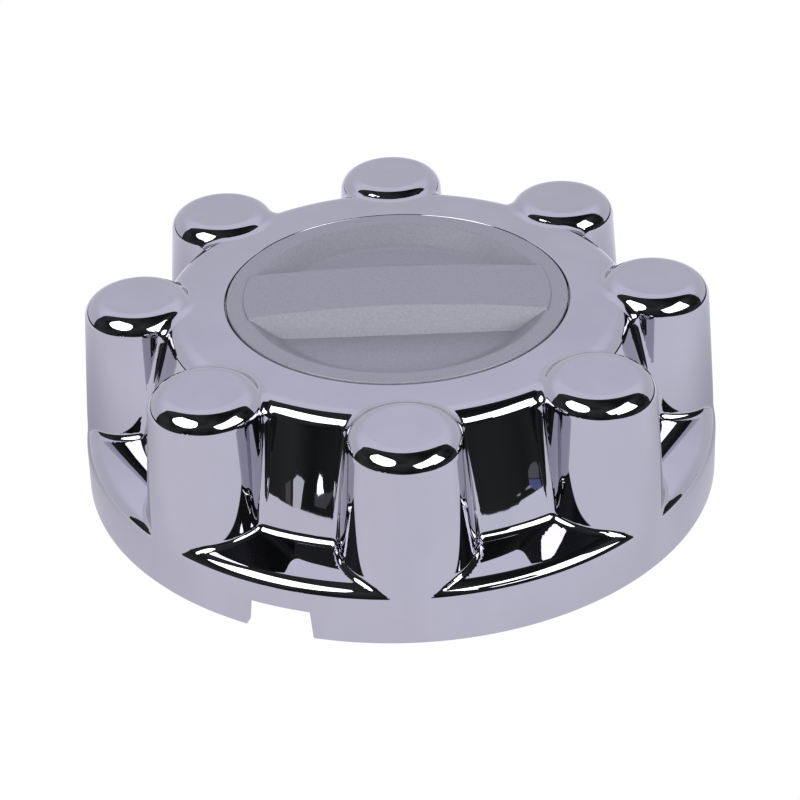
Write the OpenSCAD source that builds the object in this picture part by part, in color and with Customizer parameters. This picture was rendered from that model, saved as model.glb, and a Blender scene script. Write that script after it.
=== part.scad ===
// Wheel centre cap with eight closed lug-nut covers, a set-in centre disc
// and eight spring rings that grip the lug nuts. Millimetres, +Z outwards
// from the wheel, the skirt's rim on z = 0, the cap's axis on Z.

/* [Skirt] */
// diameter at the rim, on z = 0
rim_d = 214; // [180:1:260]
// draft of the skirt's outer face, degrees
skirt_draft = 1.6; // [0.5:0.1:4]
// height of the sharp corner between skirt and pocket floor
lip_z = 18.5; // [12:0.1:26]
// radius of the rounded lip along the pockets
lip_r = 4; // [2:0.1:5]
// width of the pry notch at the rim
notch_w = 22.2; // [10:0.1:30]
// draft of the notch's two sides, degrees
notch_draft = 5.4; // [0:0.1:10]
// turn of the notch from midway between two covers, degrees
notch_turn = 0.4; // [-5:0.1:5]
// height of the pry notch
notch_h = 9.5; // [5:0.1:12]

/* [Hub] */
// height of the flat top round the disc
plateau_z = 61; // [50:0.1:75]
// radius of the sharp corner between flat top and hub wall
plateau_r = 76.5; // [70:0.1:80]
// radius of the rounded edge of the flat top
plateau_edge_r = 6; // [3:0.1:8]
// lean of the hub wall from upright, degrees
hub_lean = 17; // [8:0.5:25]
// radius of the hollow corner between hub wall and pocket floor
foot_r = 3.2; // [1:0.1:6]
// fall of the pocket floor towards the lip, degrees
floor_fall = 11.5; // [5:0.5:20]

/* [Lug covers] */
// number of covers
cover_n = 8; // [5:1:10]
// diameter of the circle that the covers stand on
cover_pcd = 170; // [120:0.5:190]
// height of the covers' tops
cover_z = 63.7; // [55:0.1:80]
// radius of a cover just under its rounded top edge
cover_r = 18.2; // [15:0.1:20]
// radius of the rounded top edge of a cover
cover_edge_r = 6.5; // [3:0.1:8]
// draft of a cover's wall, degrees
cover_draft = 5; // [2:0.1:6]

/* [Moulding] */
// wall thickness
wall = 3; // [2:0.1:4]
// thickness of the stiffening ribs under the flat top
rib_t = 2; // [1.5:0.1:3]
// depth of those ribs below the flat top's underside
rib_h = 12; // [6:0.5:20]

/* [Socket collars] */
// inner radius of a collar
collar_ri = 14; // [13:0.1:15]
// thickness of a collar
collar_t = 1.9; // [1.5:0.1:2.5]
// height of a collar's open end above the rim
collar_z = 10; // [6:0.5:16]
// width of the slots that let a collar give
slot_w = 2; // [1:0.1:4]
// height that the slots reach
slot_z = 34; // [28:0.5:40]

/* [Grip rings] */
// inner radius of a ring, for the nut's corners
ring_ri = 12.9; // [12:0.1:13.2]
// outer radius of a ring
ring_ro = 13.9; // [13:0.05:14]
// height of a ring's lower edge
ring_z = 14; // [12:0.5:20]
// height of the band
ring_h = 10; // [6:0.5:12]
// gap of the open ring, degrees
ring_gap = 26; // [10:1:40]

/* [Centre disc] */
// radius of the disc
disc_r = 56.3; // [50:0.1:60]
// gap between the disc and its recess
disc_gap = 0.6; // [0.2:0.1:0.8]
// height of the disc's flat rim
disc_z = 61.3; // [50:0.1:75]
// inner radius of the flat rim
disc_rim_r = 50.1; // [45:0.1:53]
// radius of the pocket floors
pan_r = 42; // [36:0.1:46]
// height of the pocket floors
pan_z = 55.5; // [50:0.1:60]
// thickness of the disc's walls
disc_t = 2.5; // [1.5:0.1:3]
// half width of the bar at the pocket floors
bar_foot = 17.7; // [12:0.1:24]
// half width of the bar at the middle of its crown
bar_top = 13.1; // [8:0.1:20]
// height of the bar's crown at the middle
bar_z = 64.3; // [61:0.1:66]
// fall of the crown from the middle to the flat rim's inner edge
bar_fall = 2.5; // [0.5:0.1:4]

/* [Hidden] */
$fn = 96;

rim_r = rim_d / 2;
pr = cover_pcd / 2;
step = 360 / cover_n;
seat_z = 53.5;                      // top of the ledge that the disc rests on
seat_t = 2.5;                       // thickness of that ledge
seat_r = 47;                        // radius of the opening inside the ledge
recess_r = disc_r + disc_gap;
ring_lip = 0.5;                     // how far a collar's lips reach inwards
slot_r0 = 48.4;                     // ledge slots for the disc's legs
slot_r1 = 53;
leg_w = 7;

// lines of the hub's section as [outward normal, distance from the axis point]
n_skirt = [cos(skirt_draft), sin(skirt_draft)];
n_floor = [sin(floor_fall), cos(floor_fall)];
n_wall = [cos(hub_lean), sin(hub_lean)];
n_top = [0, 1];
d_skirt = rim_r * n_skirt[0];
lip_r0 = (d_skirt - lip_z * n_skirt[1]) / n_skirt[0];
d_floor = lip_r0 * n_floor[0] + lip_z * n_floor[1];
d_wall = plateau_r * n_wall[0] + plateau_z * n_wall[1];

// where two such lines cross, both moved inwards by w
function meet(na, da, nb, db, w) =
    let (k = na[0] * nb[1] - na[1] * nb[0], a = da - w, b = db - w)
    [(a * nb[1] - b * na[1]) / k, (na[0] * b - nb[0] * a) / k];

function hub_corner_foot(w) = meet(n_wall, d_wall, n_floor, d_floor, w);
function hub_corner_top(w) = meet(n_wall, d_wall, n_top, plateau_z, w);
// the lip's arc meets the skirt at a slight angle, kiss degrees from upright
kiss = 7;
n_kiss = [cos(kiss), sin(kiss)];
function lip_radius(w) = lip_r - min(w, lip_r - 1);
function lip_mid(w) = meet(n_skirt, d_skirt - lip_radius(w) * cos(kiss - skirt_draft),
    n_floor, d_floor - lip_radius(w), w);
function lip_end(w) = lip_mid(w) + lip_radius(w) * n_kiss;
function lip_corner(w) = meet(n_kiss, n_kiss * lip_end(w) + w, n_floor, d_floor, w);
// half width of the notch at height z
function notch_at(z) = notch_w / 2 - z * tan(notch_draft);
function skirt_at(z, w) = (d_skirt - w - z * n_skirt[1]) / n_skirt[0];

function unit(v) = v / norm(v);
function arc_u(p, i) = unit(p[(i + len(p) - 1) % len(p)] - p[i]);
function arc_v(p, i) = unit(p[(i + 1) % len(p)] - p[i]);
function arc_half(p, i) = acos(arc_u(p, i) * arc_v(p, i)) / 2;
function turn(p, i) = cross(-arc_u(p, i), arc_v(p, i));
// the arcs cross the straight edges at a slight angle, in degrees
brush = 2;
function arc_mid(p, r, i) =
    p[i] + unit(arc_u(p, i) + arc_v(p, i)) * r[i] * cos(brush) / sin(arc_half(p, i));
function across(v) = [v[1], -v[0]];

// the corner outside the arc of radius r[i] at corner i
module corner_piece(p, r, i) {
    m = arc_mid(p, r, i);
    d = r[i] * cos(brush) / tan(arc_half(p, i));
    s = turn(p, i) > 0 ? 1 : -1;
    u = arc_u(p, i);
    v = arc_v(p, i);
    difference() {
        polygon([m, p[i] + u * d + s * across(-u) * 0.5, p[i] - unit(u + v) * 0.8 / sin(arc_half(p, i)),
            p[i] + v * d + s * across(v) * 0.5]);
        translate(m) circle(r[i]);
    }
}

// polygon p, anticlockwise, with corner i rounded to radius r[i]
module rounded(p, r) {
    difference() {
        union() {
            polygon(p);
            for (i = [0 : len(p) - 1])
                if (r[i] > 0 && turn(p, i) < 0) corner_piece(p, r, i);
        }
        for (i = [0 : len(p) - 1])
            if (r[i] > 0 && turn(p, i) > 0) corner_piece(p, r, i);
    }
}

top_z = 72; // clear of everything

// half section of the air over hub and pockets, moved w inwards
module air_section(w) {
    m = lip_end(w) + 4 * [sin(kiss), -cos(kiss)];
    rounded(
        [[0, plateau_z - w], hub_corner_top(w), hub_corner_foot(w), lip_corner(w), m,
            [rim_r + 8, m[1]], [rim_r + 8, top_z], [0, top_z]],
        [0, plateau_edge_r - w, foot_r + w, lip_radius(w), 0, 0, 0, 0]);
}

// plain cone of the skirt's outer face, from z0 up
module skirt_cone(w, z0) {
    translate([0, 0, z0])
        cylinder(r1 = skirt_at(z0, w), r2 = skirt_at(top_z - 2, w), h = top_z - 2 - z0);
}

// hub, covers, pockets and skirt as one solid, w inside the outer face
module body(w, z0) {
    difference() {
        skirt_cone(w, z0);
        difference() {
            rotate([0, 0, step / 2]) rotate_extrude() air_section(w);
            covers(w, z0);
        }
    }
}

// wall radius of a cover at height z, w inside its outer face
function cover_at(z, w) =
    cover_r + (cover_z - cover_edge_r * (1 - sin(cover_draft)) - z) * tan(cover_draft) - w / cos(cover_draft);

module cover_section(w, z0) {
    rounded(
        [[0, z0], [cover_at(z0, w), z0], [cover_at(cover_z - w, w), cover_z - w], [0, cover_z - w]],
        [0, 0, cover_edge_r - w, 0]);
}

module on_pcd(i) {
    rotate([0, 0, i * step]) translate([pr, 0, 0]) children();
}

module covers(w, z0) {
    for (i = [0 : cover_n - 1])
        on_pcd(i) rotate([0, 0, 180]) rotate_extrude() cover_section(w, z0);
}

module collar(i) {
    on_pcd(i) {
        difference() {
            translate([0, 0, collar_z]) cylinder(r = collar_ri + collar_t, h = cover_z - 0.9 * wall - collar_z);
            translate([0, 0, collar_z - 1]) cylinder(r = collar_ri, h = cover_z - wall - collar_z + 1);
            for (a = [45, 135])
                rotate([0, 0, a])
                    translate([-collar_ri - 4, -slot_w / 2, collar_z - 1])
                        cube([2 * collar_ri + 8, slot_w, slot_z - collar_z + 1]);
        }
        // lips that keep the ring in, below and above it, cut by the same slots
        difference() {
            union() {
                translate([0, 0, ring_z - 1.5]) cylinder(r = collar_ri + 0.5, h = 1.5);
                translate([0, 0, ring_z + ring_h + 0.2]) cylinder(r = collar_ri + 0.5, h = 1.5);
            }
            cylinder(r = collar_ri - ring_lip, h = cover_z);
            for (a = [45, 135])
                rotate([0, 0, a])
                    translate([-collar_ri - 4, -slot_w / 2, 0])
                        cube([2 * collar_ri + 8, slot_w, slot_z]);
        }
    }
}

module stiffeners() {
    difference() {
        intersection() {
            for (i = [0 : cover_n - 1])
                rotate([0, 0, (i + 0.5) * step])
                    translate([recess_r + 1, -rib_t / 2, plateau_z - wall - rib_h])
                        cube([30, rib_t, rib_h + wall / 2]);
            body(wall / 2, 0);
        }
        cylinder(r = recess_r + wall / 2, h = plateau_z);
    }
}

module cap_shell() {
    color([0.78, 0.78, 0.84]) difference() {
        union() {
            difference() {
                body(0, 0);
                difference() {
                    body(wall, -1);
                    // wall of the recess and the ledge at its foot
                    translate([0, 0, seat_z - seat_t])
                        cylinder(r = recess_r + wall, h = plateau_z);
                }
            }
            for (i = [0 : cover_n - 1]) collar(i);
            stiffeners();
        }
        translate([0, 0, seat_z]) cylinder(r = recess_r, h = plateau_z);
        translate([0, 0, seat_z - seat_t - 1]) cylinder(r = seat_r, h = plateau_z);
        for (a = [45 : 90 : 315])
            rotate([0, 0, a])
                translate([slot_r0, -leg_w / 2 - 1, seat_z - seat_t - 1])
                    cube([slot_r1 - slot_r0, leg_w + 2, seat_t + 2]);
        // pry notch, about midway between two covers
        rotate([0, 0, notch_turn - 90 - step / 2])
            translate([rim_r - 12, 0, 0]) rotate([90, 0, 90]) linear_extrude(20)
                polygon([[-notch_at(-1), -1], [notch_at(-1), -1],
                    [notch_at(notch_h), notch_h], [-notch_at(notch_h), notch_h]]);
    }
}

// cone between the flat rim and a pocket floor, pushed outwards by w
pan_slope = atan((disc_z - pan_z) / (disc_rim_r - pan_r));
function pan_at(z, w) = pan_r + (z - pan_z) / tan(pan_slope) + w / sin(pan_slope);
bar_lean = atan((bar_foot - bar_top) / (bar_z - pan_z));
function bar_at(z, w) = bar_foot - (z - pan_z) * tan(bar_lean) + w / cos(bar_lean);
crown_r = (disc_rim_r * disc_rim_r + bar_fall * bar_fall) / (2 * bar_fall);

module pan_cone(z0, z1, w) {
    translate([0, 0, z0]) cylinder(r1 = pan_at(z0, w), r2 = pan_at(z1, w), h = z1 - z0);
}

// wedge across X between the bar's two sides, w outside them
module bar_wedge(z0, z1, w) {
    rotate([90, 0, 90]) translate([0, 0, -disc_r - 5])
        linear_extrude(2 * disc_r + 10)
            polygon([[-bar_at(z0, w), z0], [bar_at(z0, w), z0], [bar_at(z1, w), z1], [-bar_at(z1, w), z1]]);
}

module under_crown(w) {
    translate([0, 0, bar_z - crown_r]) rotate([90, 0, 0])
        cylinder(r = crown_r - w, h = 2 * disc_r + 10, center = true, $fn = 720);
}

module center_disc() {
    color([0.72, 0.72, 0.76]) union() {
        difference() {
            union() {
                difference() {
                    translate([0, 0, seat_z]) cylinder(r = disc_r, h = bar_z + 2 - seat_z);
                    // air over the rim and the pockets, round the crowned bar
                    difference() {
                        union() {
                            translate([0, 0, disc_z]) cylinder(r = disc_r + 5, h = 20);
                            pan_cone(pan_z, disc_z + 1, 0);
                        }
                        intersection() {
                            bar_wedge(pan_z - 1, bar_z + 3, 0);
                            under_crown(0);
                            translate([0, 0, pan_z - 2]) cylinder(r = disc_rim_r + 0.3, h = 20);
                        }
                    }
                }
                // floors of the pockets, below the rim's foot
                translate([0, 0, pan_z - disc_t]) cylinder(r = pan_at(pan_z - disc_t, disc_t), h = disc_t - 0.5);
            }
            // hollow under the flat rim
            difference() {
                translate([0, 0, seat_z - 2]) cylinder(r = disc_r - disc_t, h = disc_z - disc_t - seat_z + 2);
                difference() {
                    pan_cone(pan_z - disc_t - 1, disc_z + 1, disc_t);
                    bar_wedge(pan_z - disc_t - 2, bar_z + 2, -disc_t);
                }
            }
            // hollow under the bar
            intersection() {
                bar_wedge(pan_z - disc_t - 2, bar_z + 2, -disc_t);
                under_crown(disc_t);
                translate([0, 0, pan_z - disc_t - 2]) cylinder(r = disc_rim_r - disc_t, h = 20);
            }
        }
        // snap legs through the ledge
        for (a = [45 : 90 : 315])
            rotate([0, 0, a]) rotate([90, 0, 0]) translate([0, 0, -leg_w / 2])
                linear_extrude(leg_w)
                    polygon([[49.5, 47.5], [51.5, 47.5], [54.2, seat_z - seat_t - 0.2], [51.5, seat_z - seat_t - 0.2],
                        [51.5, disc_z - 1], [49.5, disc_z - 2.2]]);
    }
}

module grip_ring(i) {
    color([0.6, 0.6, 0.62]) on_pcd(i)
        translate([0, 0, ring_z]) rotate([0, 0, ring_gap / 2])
            rotate_extrude(angle = 360 - ring_gap)
                translate([ring_ri, 0]) square([ring_ro - ring_ri, ring_h]);
}

module grip_ring_1() { grip_ring(0); }
module grip_ring_2() { grip_ring(1); }
module grip_ring_3() { grip_ring(2); }
module grip_ring_4() { grip_ring(3); }
module grip_ring_5() { grip_ring(4); }
module grip_ring_6() { grip_ring(5); }
module grip_ring_7() { grip_ring(6); }
module grip_ring_8() { grip_ring(7); }

cap_shell();
center_disc();
grip_ring_1();
grip_ring_2();
grip_ring_3();
grip_ring_4();
grip_ring_5();
grip_ring_6();
grip_ring_7();
grip_ring_8();
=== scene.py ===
import math

import bpy
import numpy as np
from mathutils import Matrix, Vector


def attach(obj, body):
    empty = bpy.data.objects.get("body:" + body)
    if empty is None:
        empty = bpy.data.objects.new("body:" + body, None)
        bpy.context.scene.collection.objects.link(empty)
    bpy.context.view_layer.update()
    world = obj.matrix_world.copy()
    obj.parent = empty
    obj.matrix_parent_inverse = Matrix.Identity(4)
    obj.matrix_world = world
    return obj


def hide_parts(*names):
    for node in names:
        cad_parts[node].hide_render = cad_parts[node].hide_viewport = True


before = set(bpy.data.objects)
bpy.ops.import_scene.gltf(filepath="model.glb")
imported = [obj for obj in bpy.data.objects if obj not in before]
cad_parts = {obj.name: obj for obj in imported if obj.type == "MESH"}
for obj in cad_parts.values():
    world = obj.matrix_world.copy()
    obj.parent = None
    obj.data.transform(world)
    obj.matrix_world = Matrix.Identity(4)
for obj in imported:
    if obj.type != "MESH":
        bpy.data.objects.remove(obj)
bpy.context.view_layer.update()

scene = bpy.context.scene

# ------------------------------------------------------------------ numbers, in millimetres
RIM_R, DRAFT = 107.0, math.radians(1.6)
LIP_Z = 18.5
PLAT_Z, PLAT_R = 61.0, 76.5
LEAN, FOOT_R, FALL = math.radians(17.0), 3.2, math.radians(11.5)
N_COV, PCR = 8, 85.0
COV_Z, COV_R, COV_ER, COV_D = 63.7, 18.2, 6.5, math.radians(5.0)
RECESS_R, SEAT_Z = 56.9, 53.5
NOTCH_AZ, NOTCH_HALF, NOTCH_H, NOTCH_D = math.radians(-112.1), 11.1, 9.5, math.radians(5.4)
STEP = 2 * math.pi / N_COV

# ------------------------------------------------------------------ outer skin as a distance field
N_SK = (math.cos(DRAFT), math.sin(DRAFT))
D_SK = RIM_R * N_SK[0]
LIP_R0 = (D_SK - LIP_Z * N_SK[1]) / N_SK[0]
N_FL = (math.sin(FALL), math.cos(FALL))
D_FL = LIP_R0 * N_FL[0] + LIP_Z * N_FL[1]
N_WA = (math.cos(LEAN), math.sin(LEAN))
D_WA = PLAT_R * N_WA[0] + PLAT_Z * N_WA[1]
N_CW = (math.cos(COV_D), math.sin(COV_D))
D_CW = COV_R * N_CW[0] + (COV_Z - COV_ER * (1 - math.sin(COV_D))) * N_CW[1]


def cross_lines(na, da, nb, db):
    k = na[0] * nb[1] - na[1] * nb[0]
    return ((da * nb[1] - db * na[1]) / k, (na[0] * db - nb[0] * da) / k)


def round_corner(r, z, na, da, nb, db, rad):
    """Distance to the corner between two lines, rounded to an arc; with the normal's parts."""
    a = na[0] * r + na[1] * z - da
    b = nb[0] * r + nb[1] * z - db
    c = cross_lines(na, da - rad, nb, db - rad)
    ur, uz = r - c[0], z - c[1]
    ta, tb = (-na[1], na[0]), (-nb[1], nb[0])
    if ta[0] * nb[0] + ta[1] * nb[1] < 0:
        ta = (-ta[0], -ta[1])
    if tb[0] * na[0] + tb[1] * na[1] < 0:
        tb = (-tb[0], -tb[1])
    arc = (ur * ta[0] + uz * ta[1] > 0) & (ur * tb[0] + uz * tb[1] > 0)
    length = np.maximum(np.hypot(ur, uz), 1e-9)
    pick = a > b
    f = np.where(arc, length - rad, np.maximum(a, b))
    nr = np.where(arc, ur / length, np.where(pick, na[0], nb[0]))
    nz = np.where(arc, uz / length, np.where(pick, na[1], nb[1]))
    return f, nr, nz


def arcs(r, z, low, dl, high, dh, radii, turns):
    """Distance to the corner of a steep line (low) and a flat line (high), rounded by arcs that meet at the turns, from the steep side up."""
    rest = sum((radii[i] - radii[i + 1]) * (high[0] * math.cos(w) + high[1] * math.sin(w)) for i, w in enumerate(turns))
    cs = [cross_lines(low, dl - radii[0], high, dh - radii[-1] - rest)]
    for i, w in enumerate(turns):
        cs.append((cs[-1][0] + (radii[i] - radii[i + 1]) * math.cos(w), cs[-1][1] + (radii[i] - radii[i + 1]) * math.sin(w)))
    stops = [math.atan2(low[1], low[0])] + list(turns) + [math.atan2(high[1], high[0])]
    at = np.arctan2(z - cs[-1][1], r - cs[-1][0])
    flat = (at > stops[-1]) | (at < -math.pi / 2)
    f = np.where(flat, high[0] * r + high[1] * z - dh, low[0] * r + low[1] * z - dl)
    nr, nz = np.where(flat, high[0], low[0]), np.where(flat, high[1], low[1])
    for i, c in enumerate(cs):
        ur, uz = r - c[0], z - c[1]
        length = np.maximum(np.hypot(ur, uz), 1e-9)
        a = np.arctan2(uz, ur)
        on = (a >= stops[i]) & (a <= stops[i + 1])
        f = np.where(on, length - radii[i], f)
        nr, nz = np.where(on, ur / length, nr), np.where(on, uz / length, nz)
    return f, nr, nz


def base_field(r, z):
    """Pocket floor, lip and skirt."""
    return arcs(r, z, N_SK, D_SK, N_FL, D_FL, LIP_R, LIP_TURNS)


# radii of the lip and of the flat top's edge from the steep side up, and the angles where they change
LIP_R, LIP_TURNS = (5.5, 3.8, 6.5), (math.radians(33), math.radians(56))
TOP_R, TOP_TURNS = (6.5, 4.7, 7.4), (math.radians(33), math.radians(57))


def hub_field(r, z):
    s, sr, sz = arcs(r, z, N_WA, D_WA, (0.0, 1.0), PLAT_Z, TOP_R, TOP_TURNS)
    t, tr, tz = base_field(r, z)
    c = cross_lines(N_WA, D_WA + FOOT_R, N_FL, D_FL + FOOT_R)
    ur, uz = r - c[0], z - c[1]
    # the hollow corner lies between the feet of the perpendiculars from the arc's centre
    ta, tb = (N_WA[1], -N_WA[0]), (-N_FL[1], N_FL[0])
    arc = (ur * ta[0] + uz * ta[1] > 0) & (ur * tb[0] + uz * tb[1] > 0)
    length = np.maximum(np.hypot(ur, uz), 1e-9)
    pick = s < t
    f = np.where(arc, FOOT_R - length, np.minimum(s, t))
    nr = np.where(arc, -ur / length, np.where(pick, sr, tr))
    nz = np.where(arc, -uz / length, np.where(pick, sz, tz))
    return f, nr, nz


def smooth(t):
    t = np.clip(t, 0, 1)
    return t * t * (3 - 2 * t)


def skin_field(x, y, z):
    """Signed distance (about) to the outer skin, negative inside."""
    r = np.hypot(x, y)
    th = np.arctan2(y, x)
    th = th - STEP * np.round(th / STEP)
    px, py = r * np.cos(th), r * np.sin(th)
    f, fr, fz = hub_field(r, z)
    cx = px - PCR
    rho = np.maximum(np.hypot(cx, py), 1e-9)
    c, cr, cz = round_corner(rho, z, (0.0, 1.0), COV_Z, N_CW, D_CW, COV_ER)
    rr = np.maximum(r, 1e-9)
    # both normals in the folded plane
    hx, hy = fr * px / rr, fr * py / rr
    kx, ky = cr * cx / rho, cr * py / rho
    dot = hx * kx + hy * ky + fz * cz
    base = BLEND_LOW + (BLEND_TOP - BLEND_LOW) * smooth((z - 55) / 4)
    k = np.maximum(base * (1 - dot), 1e-3)
    u = np.maximum(k, np.minimum(f, c)) - np.hypot(np.maximum(k - f, 0), np.maximum(k - c, 0))
    # a cover runs out into the skirt without an edge
    w = smooth(0.5 + 0.5 * (c - f) / 1.2)
    s = N_SK[0] * r + N_SK[1] * z - D_SK
    k = np.maximum(FLOW * (1 - w), 1e-3)
    return np.minimum(-k, np.maximum(u, s)) + np.hypot(np.maximum(k + u, 0), np.maximum(k + s, 0))


BLEND_LOW, BLEND_TOP, FLOW = 2.4, 3.0, 0.3


def gradient(p, e=0.02):
    g = np.stack(
        [
            skin_field(p[:, 0] + e, p[:, 1], p[:, 2]) - skin_field(p[:, 0] - e, p[:, 1], p[:, 2]),
            skin_field(p[:, 0], p[:, 1] + e, p[:, 2]) - skin_field(p[:, 0], p[:, 1] - e, p[:, 2]),
            skin_field(p[:, 0], p[:, 1], p[:, 2] + e) - skin_field(p[:, 0], p[:, 1], p[:, 2] - e),
        ],
        1,
    ) / (2 * e)
    return g


def unit(v):
    return v / np.maximum(np.linalg.norm(v, axis=1, keepdims=True), 1e-12)


def settle(p, rounds=6):
    for _ in range(rounds):
        g = gradient(p)
        f = skin_field(p[:, 0], p[:, 1], p[:, 2])
        p = p - np.clip(f / np.maximum((g * g).sum(1), 0.05), -1, 1)[:, None] * g
    return p


# ------------------------------------------------------------------ skin mesh on a polar grid, one eighth repeated
def skin_mesh():
    n_th = 72
    r_l = np.concatenate([np.arange(62.0, 103.9, 0.85), [104.4, 105.0, 105.5, 105.9, 106.2, 106.45, 107.8]])
    z_l = np.concatenate([[11.0, 12.0, 12.8], np.arange(13.4, 27.0, 0.65), np.arange(27.4, 53.0, 1.6),
                          np.arange(53.6, 60.0, 0.65), [60.1, 60.7, 61.3, 61.9, 62.4, 62.9, 63.3, 64.2]])
    th_l = np.linspace(0, STEP, n_th + 1)
    R, T, Z = np.meshgrid(r_l, th_l, z_l, indexing="ij")
    F = skin_field(R * np.cos(T), R * np.sin(T), Z)
    F = np.where(np.abs(F) < 1e-7, 1e-7, F)
    sign = F < 0
    total = np.zeros(tuple(s - 1 for s in F.shape) + (3,))
    count = np.zeros(tuple(s - 1 for s in F.shape))
    X = [r_l, th_l, z_l]
    nr, nt, nz = (s - 1 for s in F.shape)
    for axis in range(3):
        lo = [slice(None)] * 3
        hi = [slice(None)] * 3
        lo[axis], hi[axis] = slice(0, -1), slice(1, None)
        lo, hi = tuple(lo), tuple(hi)
        cross = sign[lo] != sign[hi]
        t = np.where(cross, F[lo] / np.where(cross, F[lo] - F[hi], 1), 0)
        at = [A[lo] for A in (R, T, Z)]
        to = [A[hi] for A in (R, T, Z)]
        pt = np.stack([at[i] + (to[i] - at[i]) * t for i in range(3)], -1)
        others = [i for i in range(3) if i != axis]
        for da in (0, 1):
            for db in (0, 1):
                cut = [slice(None)] * 3
                for o, d in zip(others, (da, db)):
                    n = (nr, nt, nz)[o]
                    cut[o] = slice(d, d + n)
                cut = tuple(cut)
                m = cross[cut]
                total += pt[cut] * m[..., None]
                count += m
    live = count > 0
    index = -np.ones(live.shape, int)
    index[live] = np.arange(live.sum())
    cells = np.argwhere(live)
    q = total[live] / count[live][:, None]
    n_v = len(q)

    def ids(i, j, k):
        """Global vertex number of cells; j may leave the eighth on either side."""
        sector = np.zeros_like(j)
        sector[j < 0] = -1
        jj = j % nt
        return index[i, jj, k], sector

    quads = []

    def add(a, b, c, d, flip):
        quads.append(np.stack([a[0] + a[1] * BIG, b[0] + b[1] * BIG, c[0] + c[1] * BIG, d[0] + d[1] * BIG], 1)[:, ::1])
        m = flip
        quads[-1][m] = quads[-1][m][:, ::-1]

    BIG = 10 ** 7
    # edges along r
    e = np.argwhere((sign[:-1] != sign[1:])[:, :-1, 1:-1])
    i, j, k = e[:, 0], e[:, 1], e[:, 2] + 1
    fl = ~sign[i, j, k]
    add(ids(i, j - 1, k - 1), ids(i, j, k - 1), ids(i, j, k), ids(i, j - 1, k), fl)
    # edges along theta
    e = np.argwhere((sign[:, :-1] != sign[:, 1:])[1:-1, :, 1:-1])
    i, j, k = e[:, 0] + 1, e[:, 1], e[:, 2] + 1
    fl = sign[i, j, k]
    add(ids(i - 1, j, k - 1), ids(i, j, k - 1), ids(i, j, k), ids(i - 1, j, k), fl)
    # edges along z
    e = np.argwhere((sign[:, :, :-1] != sign[:, :, 1:])[1:-1, :-1])
    i, j, k = e[:, 0] + 1, e[:, 1], e[:, 2]
    fl = ~sign[i, j, k]
    add(ids(i - 1, j - 1, k), ids(i, j - 1, k), ids(i, j, k), ids(i - 1, j, k), fl)
    quads = np.concatenate(quads)

    # exact rows at the two borders
    row_in = (cells[:, 0] == 0)
    row_low = (cells[:, 2] == 0)
    p = np.stack([q[:, 0] * np.cos(q[:, 1]), q[:, 0] * np.sin(q[:, 1]), q[:, 2]], 1)
    p = settle(p)
    mid_t = (cells[:, 1] + 0.5) * STEP / nt
    r_in = 0.5 * (r_l[0] + r_l[1])
    p[row_in] = np.stack([r_in * np.cos(mid_t[row_in]), r_in * np.sin(mid_t[row_in]), np.full(row_in.sum(), PLAT_Z)], 1)
    z_low = 11.5
    r_low = (D_SK - z_low * N_SK[1]) / N_SK[0]
    p[row_low] = np.stack([r_low * np.cos(mid_t[row_low]), r_low * np.sin(mid_t[row_low]), np.full(row_low.sum(), z_low)], 1)
    nrm = unit(gradient(p))
    nrm[row_in] = (0, 0, 1)
    nrm[row_low] = np.stack([N_SK[0] * np.cos(mid_t[row_low]), N_SK[0] * np.sin(mid_t[row_low]), np.full(row_low.sum(), N_SK[1])], 1)
    assert row_in.sum() == nt and row_low.sum() == nt, (row_in.sum(), row_low.sum())
    ring_in = np.argsort(cells[:, 1][row_in])
    ring_in = np.flatnonzero(row_in)[ring_in]
    ring_low = np.flatnonzero(row_low)[np.argsort(cells[:, 1][row_low])]

    # all eight
    P, N, Q = [], [], []
    for s in range(N_COV):
        c, d = math.cos(s * STEP), math.sin(s * STEP)
        rot = np.array([[c, -d, 0], [d, c, 0], [0, 0, 1]])
        P.append(p @ rot.T)
        N.append(nrm @ rot.T)
        off = np.zeros_like(quads)
        off = np.where(quads < 0, -1, 0)
        base = quads - off * BIG
        Q.append(base + ((s + off) % N_COV) * n_v)
    P, N, Q = np.concatenate(P), np.concatenate(N), np.concatenate(Q)
    loop_in = np.concatenate([ring_in + s * n_v for s in range(N_COV)])
    loop_low = np.concatenate([ring_low + s * n_v for s in range(N_COV)])
    th = np.concatenate([mid_t[ring_in] + s * STEP for s in range(N_COV)])

    # flat top inwards, rounded edge of the recess and the recess wall
    er = 0.45
    rows = [(r, PLAT_Z, 0, 1) for r in (61.2, 60.2, 59.2, 58.4)]
    for a in np.linspace(0, math.pi / 2, 7):
        rows.append((RECESS_R + er - er * math.sin(a), PLAT_Z - er + er * math.cos(a), -math.sin(a), math.cos(a)))
    rows += [(RECESS_R, z, -1, 0) for z in (59.5, 57.0, SEAT_Z)]
    last = loop_in
    n_c = len(th)
    for r, z, a, b in rows:
        start = len(P)
        P = np.vstack([P, np.stack([r * np.cos(th), r * np.sin(th), np.full(n_c, z)], 1)])
        N = np.vstack([N, np.stack([a * np.cos(th), a * np.sin(th), np.full(n_c, b)], 1)])
        new = start + np.arange(n_c)
        Q = np.vstack([Q, np.stack([last, np.roll(last, -1), np.roll(new, -1), new], 1)])
        last = new
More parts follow.
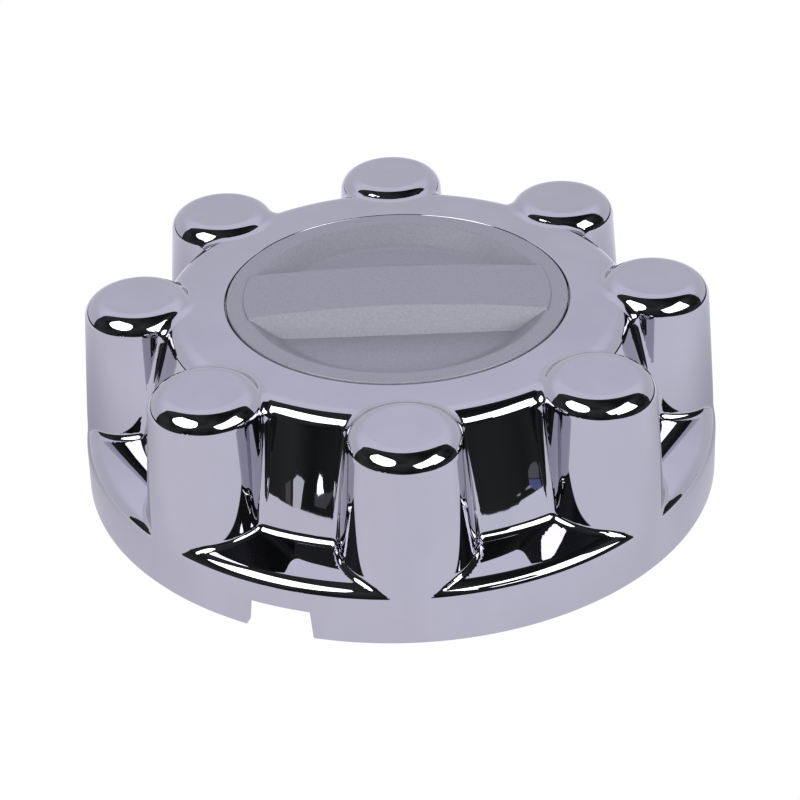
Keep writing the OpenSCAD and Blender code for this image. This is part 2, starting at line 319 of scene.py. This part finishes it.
    # skirt downwards, with columns moved to the sides of the notch
    rel = (th - NOTCH_AZ + math.pi) % (2 * math.pi) - math.pi
    half = math.asin((NOTCH_HALF - NOTCH_H / 2 * math.tan(NOTCH_D)) / RIM_R)
    j1, j2 = np.argmin(np.abs(rel + half)), np.argmin(np.abs(rel - half))
    inside = np.zeros(n_c, bool)
    inside[j1:j2] = True
    last = loop_low
    for z in (10.5, NOTCH_H, 7.0, 4.0, 1.5, 0.0):
        start = len(P)
        r = (D_SK - z * N_SK[1]) / N_SK[0]
        half = math.asin((NOTCH_HALF - min(z, NOTCH_H) * math.tan(NOTCH_D)) / r)
        th_n = th.copy()
        th_n[j1], th_n[j2] = th[j1] - rel[j1] - half, th[j2] - rel[j2] + half
        P = np.vstack([P, np.stack([r * np.cos(th_n), r * np.sin(th_n), np.full(n_c, z)], 1)])
        N = np.vstack([N, np.stack([N_SK[0] * np.cos(th_n), N_SK[0] * np.sin(th_n), np.full(n_c, N_SK[1])], 1)])
        new = start + np.arange(n_c)
        faces = np.stack([new, np.roll(new, -1), np.roll(last, -1), last], 1)
        if z < NOTCH_H - 0.01:
            faces = faces[~inside]
        Q = np.vstack([Q, faces])
        last = new
    return P, N, Q


def new_mesh(name, P, N, Q):
    """Mesh from vertices in millimetres, their normals, and faces of four or three corners."""
    me = bpy.data.meshes.new(name)
    P = np.asarray(P, float) / 1000
    me.from_pydata(P.tolist(), [], [[int(v) for v in f] for f in Q])
    me.update()
    me.polygons.foreach_set("use_smooth", [True] * len(me.polygons))
    if N is not None:
        me.normals_split_custom_set_from_vertices([tuple(v) for v in np.asarray(N, float)])
    ob = bpy.data.objects.new(name, me)
    scene.collection.objects.link(ob)
    return ob


def face_normals_agree(P, N, Q):
    a, b, c = P[Q[:, 0]], P[Q[:, 1]], P[Q[:, 2]]
    n = np.cross(b - a, c - a)
    return (n * N[Q[:, 0]]).sum(1)



P, N, Q = skin_mesh()
turned = face_normals_agree(P, N, Q) < 0
Q[turned] = Q[turned][:, ::-1]
skin = new_mesh("cap_skin", P, N, Q)


# ------------------------------------------------------------------ underside, carried over from the CAD surfaces
def cad_arrays(node):
    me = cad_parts[node].data
    n_v = len(me.vertices)
    co = np.zeros(n_v * 3)
    me.vertices.foreach_get("co", co)
    co = co.reshape(-1, 3) * 1000
    me.calc_loop_triangles()
    tri = np.zeros(len(me.loop_triangles) * 3, int)
    me.loop_triangles.foreach_get("vertices", tri)
    loops = np.zeros(len(me.loop_triangles) * 3, int)
    me.loop_triangles.foreach_get("loops", loops)
    nor = np.zeros(len(me.loops) * 3)
    me.corner_normals.foreach_get("vector", nor)
    nor = nor.reshape(-1, 3)[loops]
    vn = np.zeros_like(co)
    vn[tri] = nor
    return co, vn, tri.reshape(-1, 3)


def keep_faces(co, vn, tri, keep):
    tri = tri[keep]
    used, inv = np.unique(tri, return_inverse=True)
    return co[used], vn[used], inv.reshape(-1, 3)


co, vn, tri = cad_arrays("cap_shell")
depth = skin_field(co[:, 0], co[:, 1], co[:, 2])[tri]
rad = np.hypot(co[:, 0], co[:, 1])[tri]
z = co[:, 2][tri]
outer = (depth > -1.6).all(1) & (z.max(1) > 0.05)
recess = (np.abs(rad - RECESS_R) < 0.12).all(1) & (z.min(1) > SEAT_Z - 0.1) & (z.max(1) > SEAT_Z + 1)
flat_top = (z.min(1) > PLAT_Z - 0.05) & (rad.max(1) < 70)
under = new_mesh("cap_underside", *keep_faces(co, vn, tri, ~(outer | recess | flat_top)))

# ------------------------------------------------------------------ centre disc
DISC_R, DISC_Z, RIM_IN, PAN_R, PAN_Z = 56.3, 61.3, 50.1, 42.0, 55.5
BAR_FOOT, BAR_TOP, BAR_Z, BAR_FALL = 17.7, 13.1, 64.3, 2.5
PAN_SLOPE = math.atan2(DISC_Z - PAN_Z, RIM_IN - PAN_R)
BAR_LEAN = math.atan2(BAR_FOOT - BAR_TOP, BAR_Z - PAN_Z)
CROWN_R = (RIM_IN ** 2 + BAR_FALL ** 2) / (2 * BAR_FALL)


def arc_rows(corner, n0, n1, rad, steps):
    """Rows (r, z, nr, nz) along a rounded corner between two lines through corner with outward normals n0 and n1; rad below zero makes a hollow."""
    s = 1 if rad > 0 else -1
    dot = n0[0] * n1[0] + n0[1] * n1[1]
    m = ((n0[0] + n1[0]) / (1 + dot), (n0[1] + n1[1]) / (1 + dot))
    c = (corner[0] - rad * m[0], corner[1] - rad * m[1])
    a0, a1 = math.atan2(n0[1], n0[0]), math.atan2(n1[1], n1[0])
    rows = []
    for i in range(steps + 1):
        a = a0 + (a1 - a0) * i / steps
        rows.append((c[0] + rad * math.cos(a), c[1] + rad * math.sin(a), math.cos(a), math.sin(a)))
    return rows


n_pan = (-math.sin(PAN_SLOPE), math.cos(PAN_SLOPE))
prof = [(DISC_R, SEAT_Z, 1, 0), (DISC_R, 58.0, 1, 0)]
prof += arc_rows((DISC_R, DISC_Z), (1, 0), (0, 1), 0.4, 6)
prof += [(r, DISC_Z, 0, 1) for r in (55.0, 53.8, 52.6, 51.6)]
prof += arc_rows((RIM_IN, DISC_Z), (0, 1), n_pan, 3.5, 8)
prof += [(RIM_IN - t * (RIM_IN - PAN_R), DISC_Z - t * (DISC_Z - PAN_Z)) + n_pan for t in (0.25, 0.5, 0.7)]
prof += arc_rows((PAN_R, PAN_Z), n_pan, (0, 1), -6.0, 8)
th = np.linspace(0, 2 * math.pi, 289)[:-1]
prof = np.array(prof)
P = np.concatenate([np.stack([a * np.cos(th), a * np.sin(th), np.full(len(th), b)], 1) for a, b, _, _ in prof])
N = np.concatenate([np.stack([a * np.cos(th), a * np.sin(th), np.full(len(th), b)], 1) for _, _, a, b in prof])
Q = []
k = np.arange(len(th))
for i in range(len(prof) - 1):
    a, b = i * len(th), (i + 1) * len(th)
    Q.append(np.stack([a + k, a + np.roll(k, -1), b + np.roll(k, -1), b + k], 1))
Q = np.concatenate(Q)
# nothing of the pan runs on inside the hollow of the bar
CHORD = BAR_FOOT - 0.5
reach = np.abs(P[:, 1]) + (P[:, 2] - PAN_Z) * math.tan(BAR_LEAN)
Q = Q[~((reach[Q] < CHORD).all(1) & (np.hypot(P[:, 0], P[:, 1])[Q] < RIM_IN - 0.1).all(1))]
disc_parts = [(P, N, Q)]
r_in = prof[-1][0]
for side in (-1, 1):
    turn0 = math.asin(CHORD / r_in)
    arc = [turn0] + [a for a in th if turn0 + 1e-6 < a < math.pi - turn0 - 1e-6] + [math.pi - turn0]
    loop = [(r_in * math.cos(a), side * r_in * math.sin(a), PAN_Z) for a in arc]
    loop.append((0.0, side * CHORD, PAN_Z))
    if len(loop) % 2:
        loop.insert(len(loop) - 1, (-20.0, side * CHORD, PAN_Z))
    P = np.array([(0.0, side * 28.0, PAN_Z)] + loop)
    n = len(loop)
    Q = np.array([(0, 1 + i, 1 + (i + 1) % n, 1 + (i + 2) % n) for i in range(0, n, 2)])
    disc_parts.append((P, np.tile((0.0, 0.0, 1.0), (len(P), 1)), Q))


def crown(x):
    return BAR_Z - CROWN_R + np.sqrt(CROWN_R ** 2 - x * x)


def bar_mesh():
    edge, swell = 0.9, 0.25
    n_side = (math.cos(BAR_LEAN), math.sin(BAR_LEAN))
    # unit section from the crest's middle to the foot, as offsets from the sharp crest corner
    half = []
    for t in np.linspace(0, 1, 9)[:-1]:
        half.append(("top", t))
    rows = arc_rows((0.0, 0.0), (0, 1), n_side, edge, 8)
    half += [("arc", q) for q in rows]
    half += [("side", t) for t in (0.3, 0.6, 0.85, 1.0)]
    xs = np.concatenate([np.linspace(-1, 1, 65)])
    start = rows[0][0]

    def point(item, s, side):
        x = s * 50.0
        for _ in range(4):
            zc = float(crown(np.array(x)))
            corner = BAR_FOOT - (zc - PAN_Z) * math.tan(BAR_LEAN)
            kind, v = item
            if kind == "top":
                y = v * (corner + start)
                z, ny, nz = zc - swell * v ** 3 * 0, 0.0, 1.0
            elif kind == "arc":
                y, z, ny, nz = corner + v[0], zc + v[1], v[2], v[3]
            else:
                y0, z0 = corner + rows[-1][0], zc + rows[-1][1]
                y1, z1 = BAR_FOOT + 0.5, PAN_Z - 0.5 / math.tan(BAR_LEAN)
                y, z, ny, nz = y0 + (y1 - y0) * v, z0 + (z1 - z0) * v, n_side[0], n_side[1]
            x = s * math.sqrt(50.4 ** 2 - y * y)
        w = max(0.0, (nz - n_side[1]) / (1 - n_side[1]))
        slope = -x / math.sqrt(CROWN_R ** 2 - x * x)
        n = np.array([-w * slope, side * ny, nz])
        return (x, side * y, z), n / np.linalg.norm(n)

    section = [(it, -1) for it in half[::-1]] + [(it, 1) for it in half[1:]]
    P, N = [], []
    for s in xs:
        for it, side in section:
            a, b = point(it, s, side)
            P.append(a)
            N.append(b)
    m = len(section)
    P, N = np.array(P), np.array(N)
    # small rounding of the two ends, then down into the flat rim
    first, lastrow = P[:m].copy(), P[-m:].copy()
    for row, sgn in ((first, -1), (lastrow, 1)):
        out = np.stack([row[:, 0], row[:, 1], np.zeros(m)], 1)
        out /= np.linalg.norm(out, axis=1, keepdims=True)
        lows = []
        for a in (30, 60, 90):
            q = row + out * 0.3 * math.sin(math.radians(a))
            q[:, 2] = row[:, 2] - 0.3 * (1 - math.cos(math.radians(a)))
            nn = out * math.sin(math.radians(a)) + np.array([0, 0, 1.0]) * math.cos(math.radians(a))
            lows.append((q, nn))
        q = lows[-1][0].copy()
        q[:, 2] = np.minimum(q[:, 2], DISC_Z - 0.4)
        lows.append((q, out))
        if sgn > 0:
            for q, nn in lows:
                P, N = np.vstack([P, q]), np.vstack([N, nn])
        else:
            for q, nn in lows:
                P, N = np.vstack([q, P]), np.vstack([nn, N])
    rows_n = len(P) // m
    i, j = np.meshgrid(np.arange(rows_n - 1), np.arange(m - 1), indexing="ij")
    a = (i * m + j).ravel()
    return P, N, np.stack([a, a + 1, a + m + 1, a + m], 1)


disc_parts.append(bar_mesh())
P, N, Q, off = [], [], [], 0
for p, n, q in disc_parts:
    P.append(p)
    N.append(unit(n))
    Q.append(q + off)
    off += len(p)
P, N, Q = np.concatenate(P), np.concatenate(N), np.concatenate(Q)
turned = face_normals_agree(P, N, Q) < 0
Q[turned] = Q[turned][:, ::-1]
disc = new_mesh("disc_face", P, N, Q)

co, vn, tri = cad_arrays("center_disc")
a, b, c = co[tri[:, 0]], co[tri[:, 1]], co[tri[:, 2]]
fn = unit(np.cross(b - a, c - a))
z = co[:, 2][tri]
rad = np.hypot(co[:, 0], co[:, 1])[tri]
top = (fn[:, 2] > 0.02) & (z.min(1) > 55.2)
wall = (np.abs(rad - DISC_R) < 0.12).all(1)
ends = (z.min(1) > DISC_Z - 0.05) & (fn[:, 2] > -0.5)
disc_under = new_mesh("disc_underside", *keep_faces(co, vn, tri, ~(top | wall | ends)))


# ------------------------------------------------------------------ materials
def material(name):
    m = bpy.data.materials.new(name)
    m.use_nodes = True
    t = m.node_tree
    t.nodes.clear()
    out = t.nodes.new("ShaderNodeOutputMaterial")
    sh = t.nodes.new("ShaderNodeBsdfPrincipled")
    t.links.new(sh.outputs[0], out.inputs[0])
    co = t.nodes.new("ShaderNodeTexCoord")
    return m, t, sh, co.outputs["Object"]


def noise(t, co, scale, detail=3.0, rough=0.5, w=0.0, stretch=None):
    n = t.nodes.new("ShaderNodeTexNoise")
    n.noise_dimensions = "3D"
    n.inputs["Scale"].default_value = scale
    n.inputs["Detail"].default_value = detail
    n.inputs["Roughness"].default_value = rough
    src = co
    if w or stretch:
        mp = t.nodes.new("ShaderNodeMapping")
        mp.inputs["Location"].default_value = (w, w * 0.7, -w)
        if stretch:
            mp.inputs["Scale"].default_value = stretch
        t.links.new(co, mp.inputs["Vector"])
        src = mp.outputs[0]
    t.links.new(src, n.inputs["Vector"])
    return n.outputs["Fac"]


def ramp(t, fac, stops):
    r = t.nodes.new("ShaderNodeValToRGB")
    while len(r.color_ramp.elements) < len(stops):
        r.color_ramp.elements.new(0.5)
    for e, (pos, col) in zip(r.color_ramp.elements, stops):
        e.position = pos
        e.color = (*col, 1) if len(col) == 3 else col
    t.links.new(fac, r.inputs["Fac"])
    return r.outputs["Color"]


def maths(t, op, a, b=None, clamp=False):
    n = t.nodes.new("ShaderNodeMath")
    n.operation = op
    n.use_clamp = clamp
    for i, v in enumerate((a, b)):
        if v is None:
            continue
        if isinstance(v, (int, float)):
            n.inputs[i].default_value = v
        else:
            t.links.new(v, n.inputs[i])
    return n.outputs[0]


def mix(t, fac, a, b, blend="MIX"):
    n = t.nodes.new("ShaderNodeMix")
    n.data_type = "RGBA"
    n.blend_type = blend
    for sock, v in ((n.inputs[0], fac), (n.inputs[6], a), (n.inputs[7], b)):
        if isinstance(v, (int, float)):
            sock.default_value = v
        elif isinstance(v, tuple):
            sock.default_value = (*v, 1)
        else:
            t.links.new(v, sock)
    return n.outputs[2]


def bump(t, height, distance, strength=1.0, chain=None):
    n = t.nodes.new("ShaderNodeBump")
    n.inputs["Distance"].default_value = distance
    n.inputs["Strength"].default_value = strength
    t.links.new(height, n.inputs["Height"])
    if chain is not None:
        t.links.new(chain, n.inputs["Normal"])
    return n.outputs[0]


def spot(t, co, x, y, z, sx, sy, sz):
    """1 at a point, falling to 0 at the given radii (all in metres)."""
    mp = t.nodes.new("ShaderNodeMapping")
    mp.vector_type = "TEXTURE"
    mp.inputs["Location"].default_value = (x, y, z)
    mp.inputs["Scale"].default_value = (sx, sy, sz)
    t.links.new(co, mp.inputs["Vector"])
    g = t.nodes.new("ShaderNodeTexGradient")
    g.gradient_type = "SPHERICAL"
    t.links.new(mp.outputs[0], g.inputs["Vector"])
    return g.outputs["Fac"]


PLATE = (0.484, 0.477, 0.532)

# bright plating: mirror metal with a slight orange peel, haze, faint smudges and specks
chrome, t, sh, oc = material("bright_plating")
sh.inputs["Metallic"].default_value = 1.0
haze = noise(t, oc, 38, 4, 0.6)
tone = ramp(t, haze, [(0.3, tuple(c * 0.97 for c in PLATE)), (0.7, tuple(c * 1.02 for c in PLATE))])
smudge = maths(t, "MAXIMUM", spot(t, oc, -0.004, -0.1062, 0.008, 0.016, 0.03, 0.009),
               spot(t, oc, 0.069, -0.081, 0.011, 0.014, 0.02, 0.008))
patch = maths(t, "MULTIPLY", smudge, maths(t, "MULTIPLY", noise(t, oc, 210, 5, 0.7, 3.1), 1.3), True)
tone = mix(t, maths(t, "MULTIPLY", patch, 0.35), tone, (0.50, 0.46, 0.42))
dots = maths(t, "GREATER_THAN", noise(t, oc, 620, 2, 0.5, 9.0), 0.79)
tone = mix(t, maths(t, "MULTIPLY", dots, 0.25), tone, (0.30, 0.29, 0.30))
streak = noise(t, oc, 70, 2, 0.5, 6.3, (1.0, 1.0, 0.12))
tone = mix(t, 1.0, tone, ramp(t, streak, [(0.3, (0.955, 0.955, 0.96)), (0.7, (1.0, 1.0, 1.0))]), "MULTIPLY")
t.links.new(tone, sh.inputs["Base Color"])
rough = maths(t, "ADD", maths(t, "MULTIPLY", haze, 0.010), 0.010)
rough = maths(t, "ADD", rough, maths(t, "MULTIPLY", patch, 0.10))
t.links.new(rough, sh.inputs["Roughness"])
b1 = bump(t, noise(t, oc, 55, 2, 0.5, 1.7), 0.000025)
b2 = bump(t, noise(t, oc, 900, 2, 0.5, 4.2), 0.0000003, 1.0, b1)
t.links.new(b2, sh.inputs["Normal"])

# the same plating where it thins out on the hidden side
dull, t, sh, oc = material("bright_plating_inside")
sh.inputs["Metallic"].default_value = 1.0
cloud = noise(t, oc, 30, 5, 0.6)
tone = ramp(t, cloud, [(0.3, (0.36, 0.35, 0.36)), (0.7, (0.46, 0.45, 0.48))])
t.links.new(tone, sh.inputs["Base Color"])
t.links.new(maths(t, "ADD", maths(t, "MULTIPLY", cloud, 0.16), 0.20), sh.inputs["Roughness"])
t.links.new(bump(t, noise(t, oc, 700, 3, 0.6), 0.00001), sh.inputs["Normal"])

# satin silver paint with fine metal flakes
paint, t, sh, oc = material("silver_paint")
flake = noise(t, oc, 1500, 2, 0.6)
cloud = noise(t, oc, 60, 3, 0.5, 2.0)
tone = ramp(t, flake, [(0.30, (0.213, 0.213, 0.258)), (0.70, (0.265, 0.265, 0.320))])
tone = mix(t, maths(t, "MULTIPLY", cloud, 0.12), tone, (0.213, 0.213, 0.254))
t.links.new(tone, sh.inputs["Base Color"])
sh.inputs["Metallic"].default_value = 0.2
t.links.new(maths(t, "ADD", maths(t, "MULTIPLY", flake, 0.10), 0.44), sh.inputs["Roughness"])
t.links.new(bump(t, flake, 0.000008, 0.8), sh.inputs["Normal"])
sh.inputs["Coat Weight"].default_value = 0.4
sh.inputs["Coat Roughness"].default_value = 0.22

# spring steel of the rings
steel, t, sh, oc = material("spring_steel")
sh.inputs["Metallic"].default_value = 1.0
drawn = noise(t, oc, 260, 3, 0.6, 0.0, (1.0, 1.0, 14.0))
t.links.new(ramp(t, drawn, [(0.3, (0.36, 0.35, 0.34)), (0.7, (0.50, 0.49, 0.48))]), sh.inputs["Base Color"])
t.links.new(maths(t, "ADD", maths(t, "MULTIPLY", drawn, 0.15), 0.22), sh.inputs["Roughness"])
t.links.new(bump(t, drawn, 0.00001), sh.inputs["Normal"])

for ob, mat, slot, nodes in (
    (skin, chrome, "bright_plating", ("cap_shell",)),
    (under, dull, "bright_plating", ("cap_shell",)),
    (disc, paint, "silver_paint", ("center_disc",)),
    (disc_under, paint, "silver_paint", ("center_disc",)),
):
    ob.data.materials.clear()
    ob.data.materials.append(mat)
    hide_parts(*nodes)
    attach(ob, "root")
for i in range(1, N_COV + 1):
    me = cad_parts[f"grip_ring_{i}"].data
    me.materials.clear()
    me.materials.append(steel)


# ------------------------------------------------------------------ studio
def glow(name, colour, strength):
    m = bpy.data.materials.new(name)
    m.use_nodes = True
    t = m.node_tree
    t.nodes.clear()
    out = t.nodes.new("ShaderNodeOutputMaterial")
    e = t.nodes.new("ShaderNodeEmission")
    e.inputs["Color"].default_value = (*colour, 1)
    e.inputs["Strength"].default_value = strength
    t.links.new(e.outputs[0], out.inputs[0])
    return m


def sheet(name, pts, faces, mat, shown=False):
    me = bpy.data.meshes.new(name)
    me.from_pydata([tuple(p) for p in pts], [], faces)
    me.update()
    me.materials.append(mat)
    ob = bpy.data.objects.new(name, me)
    scene.collection.objects.link(ob)
    ob.visible_camera = shown
    ob.visible_shadow = False
    return ob


# white sheet under the part; reflections see it with a painted contact shadow, dimmer close to the part, and its edges
# not far off
paper = bpy.data.materials.new("studio_floor")
paper.use_nodes = True
t = paper.node_tree
t.nodes.clear()
out = t.nodes.new("ShaderNodeOutputMaterial")
co = t.nodes.new("ShaderNodeTexCoord").outputs["Object"]
path = t.nodes.new("ShaderNodeLightPath").outputs["Is Camera Ray"]
back = t.nodes.new("ShaderNodeNewGeometry").outputs["Backfacing"]
# painted shadow: the floor's glow for reflection rays is dimmed in an oval around the part, standing in for the part's
# contact shadow
painted_shadow_spot = spot(t, co, 0.0, 0.04, 0.0, 0.30, 0.165, 1.0)
painted_shadow_level = maths(t, "SUBTRACT", 1.0, maths(t, "MULTIPLY", maths(t, "MULTIPLY", painted_shadow_spot, painted_shadow_spot), 1.5))
painted_shadow_level = maths(t, "MAXIMUM", painted_shadow_level, 0.35)
across = t.nodes.new("ShaderNodeSeparateXYZ")
t.links.new(co, across.inputs[0])
tint = ramp(t, maths(t, "ADD", maths(t, "MULTIPLY", across.outputs[0], 1.4), 0.5), [(0.1, (0.958, 0.934, 1.02)), (0.9, (0.972, 0.988, 1.098))])
seen = t.nodes.new("ShaderNodeEmission")
floor_glow_with_painted_shadow = t.nodes.new("ShaderNodeEmission")
t.links.new(tint, floor_glow_with_painted_shadow.inputs["Color"])
t.links.new(painted_shadow_level, floor_glow_with_painted_shadow.inputs["Strength"])
clear = t.nodes.new("ShaderNodeBsdfTransparent")
one = t.nodes.new("ShaderNodeMixShader")
t.links.new(path, one.inputs[0])
t.links.new(floor_glow_with_painted_shadow.outputs[0], one.inputs[1])
t.links.new(seen.outputs[0], one.inputs[2])
two = t.nodes.new("ShaderNodeMixShader")
t.links.new(maths(t, "MULTIPLY", path, back), two.inputs[0])
t.links.new(one.outputs[0], two.inputs[1])
t.links.new(clear.outputs[0], two.inputs[2])
t.links.new(two.outputs[0], out.inputs[0])
floor = sheet("floor", [(-0.345, -0.65, 0), (0.318, -0.65, 0), (0.324, -0.36, 0), (0.338, -0.36, 0), (0.33, 1.4, 0), (-0.38, 1.4, 0), (-0.375, -0.45, 0)],
              [(0, 1, 2, 3, 4, 5, 6)], paper, True)
floor.location.z = -0.0002


def towards(az, el, dist, origin=(0.0, 0.0, 0.05)):
    a, e = math.radians(az), math.radians(el)
    return (origin[0] + dist * math.cos(e) * math.cos(a), origin[1] + dist * math.cos(e) * math.sin(a), origin[2] + dist * math.sin(e))


# white backdrop behind: its outline as azimuth, elevation; a little dimmer low down
EDGE = [(11, -3), (12, 8), (14, 24), (20, 36), (28, 43.5), (34, 49), (40, 54.5), (46, 59.5), (52, 64), (58, 67), (68, 70),
        (78, 71.5), (92, 72), (105, 71), (115, 68.5), (125, 64), (132, 59), (138, 54.5), (145, 49.5), (151, 44), (160, 38),
        (165, 30), (169, 15), (170, -3)]
haze = bpy.data.materials.new("studio_backdrop")
haze.use_nodes = True
t = haze.node_tree
t.nodes.clear()
out = t.nodes.new("ShaderNodeOutputMaterial")
co = t.nodes.new("ShaderNodeTexCoord").outputs["Object"]
rise = t.nodes.new("ShaderNodeSeparateXYZ")
t.links.new(co, rise.inputs[0])
level = ramp(t, maths(t, "DIVIDE", maths(t, "SUBTRACT", rise.outputs[2], 0.05), 1.35),
             [(0.44, (0.787, 0.783, 0.857)), (0.53, (0.836, 0.832, 0.962)), (0.60, (0.914, 0.909, 1.045)), (0.66, (0.972, 0.967, 1.108))])
e = t.nodes.new("ShaderNodeEmission")
t.links.new(level, e.inputs["Color"])
t.links.new(e.outputs[0], out.inputs[0])
pts, faces = [], []
azs = np.interp(np.linspace(0, len(EDGE) - 1, 139), np.arange(len(EDGE)), [e[0] for e in EDGE])
tops = np.interp(np.linspace(0, len(EDGE) - 1, 139), np.arange(len(EDGE)), [e[1] for e in EDGE])
for a, e in zip(azs, tops):
    for q in np.linspace(0, 1, 13):
        pts.append(towards(a, -4 + (e + 4) * q, 1.35))
for i in range(len(azs) - 1):
    for j in range(12):
        k = i * 13 + j
        faces.append((k, k + 13, k + 14, k + 1))
sheet("backdrop", pts, faces, haze)


def lamp(name, outline, strength, dist=1.5, origin=(0.0, -0.085, 0.06)):
    """Softbox whose outline is given as directions from the front cover."""
    v = [np.array(towards(a, e, dist, origin)) for a, e in outline]
    mid = sum(v) / len(v)
    o = np.array(origin)
    mid = o + (mid - o) / np.linalg.norm(mid - o) * dist
    sheet(name, [mid] + v, [(0, i + 1, (i + 1) % len(v) + 1) for i in range(len(v))], glow(name, (1.0, 0.99, 0.97), strength))


lamp("softbox_left", [(-178.4, 45.7), (-172.1, 38.5), (-163.3, 33), (-154.8, 29.3), (-144.7, 28), (-132.8, 27.5), (-121.8, 31),
                      (-113.9, 38.9), (-113.2, 49.6), (-118.2, 59), (-127, 64), (-141.1, 66.5), (-165, 66), (172, 61), (177.5, 54)], 4.5)
lamp("softbox_right", [(-76, 37.5), (-70.5, 24), (-61.5, 15.5), (-50, 15.8), (-37, 15.8), (-25, 15.8), (-13.3, 17), (-14, 28), (-14.3, 40),
                       (-7.5, 50.5), (-14, 52.5), (-33.5, 50), (-50, 46.5), (-63, 43.5)], 4.5)

# small dark flag that keeps the right softbox out of the pockets' double reflections
flag_c, flag_t = (0.109, -0.217), (math.sin(math.radians(42)), math.cos(math.radians(42)))
sheet("flag", [(flag_c[0] + k * flag_t[0], flag_c[1] + k * flag_t[1], z) for z in (0.068, 0.116) for k in (-0.040, 0.034)],
      [(0, 1, 3, 2)], glow("flag", (1.0, 1.0, 1.0), 0.02))

# weak low light from the front, for the painted disc; mirrors don't show it
fill = bpy.data.lights.new("front_fill", "AREA")
fill.size, fill.energy = 0.5, 8.5
fill_ob = bpy.data.objects.new("front_fill", fill)
scene.collection.objects.link(fill_ob)
fill_ob.location = towards(-90, 14, 1.2)
fill_ob.rotation_euler = (Vector((0, 0, 0.05)) - Vector(fill_ob.location)).to_track_quat("-Z", "Y").to_euler()
fill_ob.visible_camera = fill_ob.visible_glossy = fill_ob.visible_transmission = False

# odds and ends of the room beyond the sheet, seen only in reflections
def patch_on_ground(name, outline, colour, strength):
    n = len(outline)
    mid = (sum(q[0] for q in outline) / n, sum(q[1] for q in outline) / n)
    sheet(name, [(x, y, -0.0005) for x, y in [mid] + outline], [(0, i + 1, (i + 1) % n + 1) for i in range(n)], glow(name, colour, strength))


patch_on_ground("pale_strip", [(-0.57, -0.58), (-0.63, -0.67), (-0.64, -0.72), (-0.62, -0.735), (-0.48, -0.57), (-0.378, -0.454), (-0.376, -0.43), (-0.382, -0.414)], (0.95, 0.96, 1.0), 0.85)
patch_on_ground("brown_strip", [(-0.49, -0.455), (-0.55, -0.54), (-0.384, -0.403), (-0.39, -0.383)], (1.0, 0.9, 0.9), 0.12)
patch_on_ground("bright_pane", [(-0.76, -1.105), (-0.74, -1.125), (-0.58, -0.93), (-0.555, -0.85), (-0.53, -0.79), (-0.55, -0.795), (-0.665, -0.95)], (1.0, 1.0, 1.0), 3.0)
patch_on_ground("grey_cloth", [(-0.545, -0.765), (-0.62, -1.17), (-0.443, -0.745), (-0.43, -0.735), (-0.434, -0.624)], (0.95, 0.95, 1.05), 0.09)
patch_on_ground("grey_hood", [(0.425, -0.375), (0.47, -0.405), (0.495, -0.408), (0.495, -0.388), (0.478, -0.36), (0.442, -0.328), (0.384, -0.297)], (0.95, 1.0, 0.97), 0.14)
patch_on_ground("blue_cloth", [(0.42, -0.371), (0.378, -0.292), (0.347, -0.269), (0.34, -0.262), (0.346, -0.294), (0.383, -0.344)], (0.42, 0.45, 1.0), 0.33)
patch_on_ground("pale_fold", [(0.38, -0.368), (0.39, -0.358), (0.389, -0.342), (0.373, -0.323), (0.375, -0.344)], (0.9, 0.95, 1.0), 0.5)
patch_on_ground("pale_spot", [(0.38, -0.418), (0.386, -0.41), (0.378, -0.388), (0.371, -0.389)], (1.0, 1.0, 0.85), 0.45)

# the camera sees a pale surround; reflections see a dim room
world = bpy.data.worlds.new("studio")
scene.world = world
world.use_nodes = True
t = world.node_tree
t.nodes.clear()
out = t.nodes.new("ShaderNodeOutputWorld")
path = t.nodes.new("ShaderNodeLightPath")
pale = t.nodes.new("ShaderNodeBackground")
pale.inputs["Color"].default_value = (1, 1, 1, 1)
dim = t.nodes.new("ShaderNodeBackground")
co = t.nodes.new("ShaderNodeTexCoord")
cloud = noise(t, co.outputs["Generated"], 1.6, 2, 0.5, 0.4)
t.links.new(ramp(t, cloud, [(0.35, (0.012, 0.013, 0.013)), (0.7, (0.055, 0.058, 0.058))]), dim.inputs["Color"])
mx = t.nodes.new("ShaderNodeMixShader")
t.links.new(path.outputs["Is Camera Ray"], mx.inputs[0])
t.links.new(dim.outputs[0], mx.inputs[1])
t.links.new(pale.outputs[0], mx.inputs[2])
t.links.new(mx.outputs[0], out.inputs[0])

scene.view_settings.view_transform = "Standard"
scene.view_settings.look = "None"
scene.view_settings.exposure = 0.0
scene.view_settings.gamma = 1.0

# ------------------------------------------------------------------ camera
EYE = np.array([-6.5327, -600.0857, 397.9961]) / 1000
YAW, PITCH, ROLL, F_PX = 0.01067137, -0.56278783, -0.03234956, 2082.803
fw = np.array([math.cos(PITCH) * math.sin(YAW), math.cos(PITCH) * math.cos(YAW), math.sin(PITCH)])
rt = np.array([math.cos(YAW), -math.sin(YAW), 0.0])
up = np.cross(rt, fw)
right = math.cos(ROLL) * rt + math.sin(ROLL) * up
upv = -math.sin(ROLL) * rt + math.cos(ROLL) * up
cam = bpy.data.cameras.new("camera")
cam.sensor_width = 36.0
cam.lens = F_PX * 36.0 / 800
cam.clip_start, cam.clip_end = 0.02, 50
cam_ob = bpy.data.objects.new("camera", cam)
scene.collection.objects.link(cam_ob)
m = Matrix.Identity(4)
for i in range(3):
    m[i][0], m[i][1], m[i][2], m[i][3] = right[i], upv[i], -fw[i], EYE[i]
cam_ob.matrix_world = m
scene.camera = cam_ob

bpy.context.view_layer.update()
